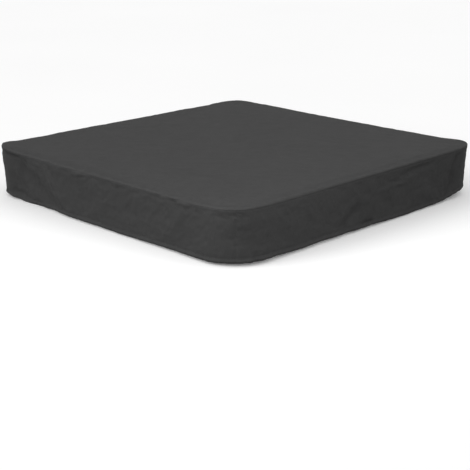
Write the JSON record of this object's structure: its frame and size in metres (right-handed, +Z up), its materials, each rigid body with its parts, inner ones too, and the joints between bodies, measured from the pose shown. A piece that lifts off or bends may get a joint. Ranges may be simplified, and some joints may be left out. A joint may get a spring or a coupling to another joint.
{
  "type": "spa cover",
  "caption": "Square fabric cap that pulls down over the top of a hot tub, with rounded corners, a sewn rim and an elastic hem.",
  "frame": {"origin": "middle of the underside of the top panel, where the cap rests on the hot tub", "axes": "+Z up, -Y to the front, +X to the right; the four sides face -Y, +X, +Y and -X"},
  "size_m": [2.1, 2.1, 0.3],
  "materials": {
    "cover_cloth": "matte coated polyester weave, charcoal grey",
    "seam_tape": "matte woven tape, black",
    "elastic": "braided elastic cord, black",
    "sleeve": "satin shrink sleeve, black",
    "label": "blank woven satin tag, off-white"
  },
  "bodies": {
    "root": {"top_panel": "cover_cloth", "skirt_front": "cover_cloth", "skirt_right": "cover_cloth", "skirt_back": "cover_cloth", "skirt_left": "cover_cloth", "hem_casing_front": "cover_cloth", "hem_casing_right": "cover_cloth", "hem_casing_back": "cover_cloth", "hem_casing_left": "cover_cloth", "rim_tape_front": "seam_tape", "rim_tape_right": "seam_tape", "rim_tape_back": "seam_tape", "rim_tape_left": "seam_tape", "corner_tape_front_right": "seam_tape", "corner_tape_right_back": "seam_tape", "corner_tape_back_left": "seam_tape", "corner_tape_left_front": "seam_tape", "hem_elastic": "elastic", "elastic_sleeve": "sleeve", "care_label": "label"}
  },
  "joints": []
}
